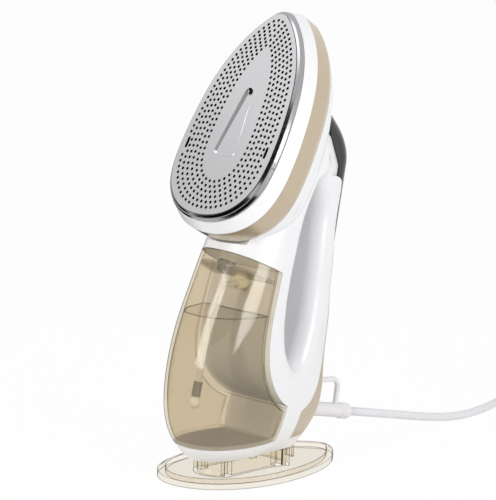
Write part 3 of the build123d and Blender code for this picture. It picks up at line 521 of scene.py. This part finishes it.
def satin_ceramic():
    """A satin coat, with painted shade: hole walls and rolled hole edges are near black, outside the plain
    middle patch.
    """
    made, tree = new_material("satin_ceramic_coat")
    where = add(tree, "TexCoord")
    grit = add(tree, "TexNoise", {"Vector": where.outputs["Object"]}, {"Scale": 1 / (0.35 * mm), "Detail": 2.0})
    tooth = add(tree, "Bump", {"Height": grit.outputs[0]}, {"Strength": 0.08, "Distance": 0.05 * mm})
    coat = add(
        tree,
        "BsdfPrincipled",
        {"Normal": tooth.outputs[0]},
        {"Base Color": linear("#D0D0D2"), "Metallic": 0.8, "Roughness": 0.3},
    )
    # Painted shade: a near-black matt on the hole walls and rolled hole edges, standing in for the shade in and
    # around the holes.
    painted_hole_shade = add(tree, "BsdfDiffuse", inputs={"Color": linear("#171615")})
    surface = add(tree, "NewGeometry")
    facing = add(
        tree,
        "VectorMath",
        {0: surface.outputs["True Normal"]},
        {1: SOLE_FACING},
        operation="DOT_PRODUCT",
    )
    wall = add(tree, "Math", {0: facing.outputs["Value"]}, {1: HOLE_WALL_BELOW}, operation="LESS_THAN")
    rounded = add(tree, "Bevel", inputs={"Radius": HOLE_EDGE * mm}, samples=8)
    turned = add(
        tree,
        "VectorMath",
        {0: surface.outputs["True Normal"], 1: rounded.outputs[0]},
        operation="DOT_PRODUCT",
    )
    rolled = add(tree, "Math", {0: turned.outputs["Value"]}, {1: HOLE_ROLL_BELOW}, operation="LESS_THAN")
    flat = add(tree, "Math", {0: facing.outputs["Value"]}, {1: HOLE_FACE_ABOVE}, operation="GREATER_THAN")
    place = add(tree, "VectorMath", {0: where.outputs["Object"]}, {1: -SOLE_CENTRE * mm}, operation="ADD")
    up = add(tree, "VectorMath", {0: place.outputs[0]}, {1: SOLE_UP}, operation="DOT_PRODUCT")
    aside = add(tree, "SeparateXYZ", {0: place.outputs[0]})
    off = add(tree, "Math", {0: aside.outputs["X"]}, operation="ABSOLUTE")
    slanted = add(
        tree,
        "Math",
        {0: up.outputs["Value"], 2: off.outputs[0]},
        {1: PLAIN_TAPER},
        operation="MULTIPLY_ADD",
    )
    beside = add(tree, "Math", {0: slanted.outputs[0]}, {1: PLAIN_REACH * mm}, operation="GREATER_THAN")
    level = add(tree, "Math", {0: up.outputs["Value"]}, {1: PLAIN_MIDDLE * mm}, operation="SUBTRACT")
    far = add(tree, "Math", {0: level.outputs[0]}, operation="ABSOLUTE")
    past = add(tree, "Math", {0: far.outputs[0]}, {1: PLAIN_HALF * mm}, operation="GREATER_THAN")
    outside = add(tree, "Math", {0: beside.outputs[0], 1: past.outputs[0]}, operation="MAXIMUM")
    on_face = add(tree, "Math", {0: rolled.outputs[0], 1: flat.outputs[0]}, operation="MULTIPLY")
    edge = add(tree, "Math", {0: on_face.outputs[0], 1: outside.outputs[0]}, operation="MULTIPLY")
    hole_shade_mask = add(tree, "Math", {0: wall.outputs[0], 1: edge.outputs[0]}, operation="MAXIMUM")
    punched = add(tree, "MixShader", {0: hole_shade_mask.outputs[0], 1: coat.outputs[0], 2: painted_hole_shade.outputs[0]})
    add(tree, "OutputMaterial", {"Surface": punched.outputs[0]})
    return made


ceramic = satin_ceramic()
dress(ceramic, "soleplate")
dress(bare_metal("polished_steel", "#A6A6A8", 0.16, 2.0, 0.01), "soleplate_rim")
# The heater plate's near black is painted shade, so that the holes show dark.
dress(moulded("shade_black_cast_aluminium", "#121110", 0.8, 0.8, 0.3), "heater_plate")


# The trough below the steam outlet: pressed sides slope down to a floor that rises towards the heel. It lies
# in the plate's own recess, has the plate's coat and ends short of the outlet.
TROUGH_ENDS = 42.2
TROUGH_BOTTOM = -3.0
TROUGH_HALF_END = 3.95
TROUGH_HALF_BOTTOM = 10.5
TROUGH_CORNER = 3.0
TROUGH_CORNER_STEPS = 8
TROUGH_DEPTHS = (1.2, 1.74)
TROUGH_UNDER = 1.77
TROUGH_FOOT = 0.42
TROUGH_SINK = 0.03
TROUGH_GAP = 0.02
TROUGH_SPREAD = 1.2
TROUGH_LIP = 0.5
TROUGH_LIP_SIDES = 10


def trough():
    """The sloping sides and the floor as one closed piece, and a bead along the right and lower lips."""
    lean = Vector((TROUGH_HALF_BOTTOM - TROUGH_HALF_END, TROUGH_ENDS - TROUGH_BOTTOM)).normalized()
    half = (pi / 2 - lean.angle(Vector((0, 1)))) / 2
    loop = []
    for side in (-1, 1):
        corner = Vector((side * TROUGH_HALF_BOTTOM, TROUGH_BOTTOM))
        middle = corner + Vector((-side, tan(half))) * TROUGH_CORNER / tan(half)
        for step in range(TROUGH_CORNER_STEPS + 1)[::side]:
            angle = side * (pi - 2 * half) * step / TROUGH_CORNER_STEPS - pi / 2
            out = Vector((cos(angle), sin(angle)))
            loop.append((middle + out * TROUGH_CORNER, -out))
    ends = [Vector((side * TROUGH_HALF_END, TROUGH_ENDS)) for side in (-1, 1)]
    loop = [(ends[0], loop[0][1])] + loop + [(ends[1], loop[-1][1])]

    def on_sole(flat, deep):
        return (SOLE_CENTRE + Vector((flat.x, 0, 0)) + SOLE_UP * flat.y - SOLE_FACING * deep) * mm

    def spot(flat, deep):
        return shape.verts.new(on_sole(flat, deep))

    shape = bmesh.new()
    lips, floor, under = [], [], []
    for place, inward in loop:
        share = (place.y - TROUGH_BOTTOM) / (TROUGH_ENDS - TROUGH_BOTTOM)
        deep = TROUGH_DEPTHS[0] + (TROUGH_DEPTHS[1] - TROUGH_DEPTHS[0]) * share
        lips.append(spot(place + inward * TROUGH_GAP, TROUGH_SINK))
        floor.append(spot(place + inward * TROUGH_SPREAD * deep, deep))
        under.append(spot(place + inward * TROUGH_FOOT, TROUGH_UNDER))
    for index in range(len(loop) - 1):
        after = index + 1
        shape.faces.new((lips[index], lips[after], floor[after], floor[index])).smooth = True
        shape.faces.new((under[index], under[after], lips[after], lips[index]))
    shape.faces.new(floor)
    shape.faces.new(under[::-1])
    shape.faces.new((lips[0], floor[0], floor[-1], lips[-1], under[-1], under[0]))
    bmesh.ops.recalc_face_normals(shape, faces=shape.faces)
    for edge in shape.edges:
        edge.smooth = edge.calc_face_angle(pi) < radians(30)
    made = bpy.data.meshes.new("trough_walls")
    shape.to_mesh(made)
    shape.free()
    made.materials.append(ceramic)
    piece = bpy.data.objects.new("trough_walls", made)
    bpy.context.scene.collection.objects.link(piece)
    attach(piece, "steamer")

    bead = [on_sole(place, TROUGH_LIP / 2) for place, _ in loop[2:]]
    section = [(2 * pi * index / TROUGH_LIP_SIDES, TROUGH_LIP * mm) for index in range(TROUGH_LIP_SIDES)]
    lip = tube_mesh("trough_lip", bead, section)
    lip.data.materials.append(ceramic)
    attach(lip, "steamer")


trough()


# Inside the head: a cast chamber cover, a steel-sheathed element, a silicone seal, a snap thermostat, a sleeved
# fuse and a sheet steel shield, all held by four zinc-plated screws.
dress(bare_metal("cast_aluminium", "#A9A9A8", 0.5, 0.7, 0.2), "chamber_cover")
zinc = bare_metal("zinc_plated_steel", "#9C9CA0", 0.35, 0.5, 0.05)
dress(bare_metal("sheathed_steel", "#8B8680", 0.45, 0.6, 0.05), "heating_element", "heat_shield", "thermostat")
dress(zinc, "head_screws", "housing_screws", "board_screws")
dress(moulded("red_silicone", "#8E3A2C", 0.6, 0.8, 0.08), "chamber_gasket")
dress(moulded("glass_fibre_sleeve", "#D6D2C6", 0.8, 0.5, 0.3), "thermal_fuse")


# The control spine: piano-black ABS on the back of the handle, with two satin keys, a clear light pipe and
# the board and rubber domes beneath them.
dress(moulded("piano_black_abs", "#151516", 0.07, 3.0, 0.01, 0.4), "control_spine")
dress(moulded("satin_black_abs", "#2B2B2D", 0.45, 0.5, 0.08), "power_button", "steam_button")
dress(moulded("grey_key_rubber", "#55565A", 0.7, 0.6, 0.1), "key_domes", "pump_mounts")
dress(moulded("green_solder_mask", "#2E6B44", 0.4, 1.0, 0.05), "control_board")
see_through(clear_plastic("clear_light_pipe", "#F4F8FA", "#B8BCC0"), "indicator_lens")


# The water tank: a cup blown in smoky amber plastic, a paler plate welded on its back, a plate across its top
# with a stopper, and a cream silicone valve that meets the housing's inlet.
# As on the stand, the edge colours of these clear parts are partly painted shade.
see_through(clear_plastic("smoky_amber_plastic", "#F4EFE5", "#3A3527", haze=0.06), "tank_shell")
see_through(clear_plastic("pale_amber_plastic", "#FAF8F3", "#8C8468", 0.2, haze=0.08), "tank_back", "tank_lid")
see_through(clear_plastic("grey_clear_plastic", "#D2CFC7", "#8D897E", 0.2), "tank_plug")
dress(moulded("cream_silicone", "#DDD7B8", 0.55, 0.8, 0.06), "tank_port")


# The pickup: a translucent silicone hose with a taupe sleeve and a white weighted ball, which follows the
# water when the steamer is tilted. The same hose leads to the black nylon pump in the base and on to the head.
dress(moulded("milky_silicone_hose", "#CCC8BF", 0.4, 0.9, 0.05), "pickup_hose", "inlet_hose", "feed_hose")
dress(moulded("black_nylon", "#26262A", 0.5, 0.7, 0.08), "water_pump")
dress(moulded("taupe_rubber", "#6F6156", 0.6, 0.6, 0.08), "pickup_sleeve")
dress(moulded("white_weight", "#EDEBE6", 0.35, 0.9, 0.04), "pickup_ball")


# The water: about two thirds of the tank, with a level top. It lies just inside the walls, which rays from
# the middle of each level find, so it keeps to the tank's own shape.
WATER_LEVEL = 112.0
WATER_FLOOR = 26.8
WATER_MIDDLE = -40
WATER_GAP = 0.5
WATER_LEVELS = 24
WATER_AROUND = 72
MENISCUS_RADIUS = 0.3
MENISCUS_SIDES = 6


def water():
    walls = []
    for name in ("tank_shell", "tank_back"):
        mesh = nodes[name].data
        corners = [corner.co for corner in mesh.vertices]
        walls.append(BVHTree.FromPolygons(corners, [list(face.vertices) for face in mesh.polygons]))

    def reach(start, way):
        hits = [wall.ray_cast(start, way) for wall in walls]
        return min(hit[3] for hit in hits if hit[3] is not None)

    shape = bmesh.new()
    rings = []
    backwards = Vector((0, 1, 0))
    for step in range(WATER_LEVELS):
        high = (WATER_FLOOR + (WATER_LEVEL - WATER_FLOOR) * step / (WATER_LEVELS - 1)) * mm
        start = Vector((0, WATER_MIDDLE * mm, high))
        middle = start + backwards * (reach(start, backwards) - reach(start, -backwards)) / 2
        ring = []
        for index in range(WATER_AROUND):
            angle = 2 * pi * index / WATER_AROUND
            way = Vector((cos(angle), sin(angle), 0))
            ring.append(shape.verts.new(middle + way * (reach(middle, way) - WATER_GAP * mm)))
        rings.append(ring)
    for one, two in zip(rings, rings[1:]):
        for index in range(WATER_AROUND):
            after = (index + 1) % WATER_AROUND
            shape.faces.new((one[index], one[after], two[after], two[index])).smooth = True
    shape.faces.new(reversed(rings[0]))
    shape.faces.new(rings[-1])
    made = bpy.data.meshes.new("tank_water")
    shape.to_mesh(made)
    shape.free()
    made.materials.append(clear_plastic("clear_water", "#FAF8F3", "#C9C0A8", 0.0, 0.01))
    piece = bpy.data.objects.new("tank_water", made)
    piece.visible_shadow = False
    bpy.context.scene.collection.objects.link(piece)
    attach(piece, "tank")

    edge = [spot.co.copy() for spot in made.vertices[-WATER_AROUND:]]
    round_wire = [(2 * pi * index / MENISCUS_SIDES, MENISCUS_RADIUS * mm) for index in range(MENISCUS_SIDES)]
    meniscus = tube_mesh("water_meniscus", edge + edge[:1], round_wire)
    # The meniscus ring's dark tint is painted shade for the light bent at the waterline.
    meniscus.data.materials.append(clear_plastic("waterline_painted_shade", "#8C846C", "#5A5340", 0.0, 0.01))
    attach(meniscus, "tank")


water()


# The cord's entry: a soft white strain relief with a moulded hanging loop, its clamp, and the plain plastic
# elbow that takes water from the tank.
dress(moulded("soft_white_tpe", "#EAE8EA", 0.45, 0.9, 0.05), "strain_relief")
dress(moulded("grey_nylon", "#B0B0AE", 0.5, 0.7, 0.06), "cord_clamp", "inlet_spigot")
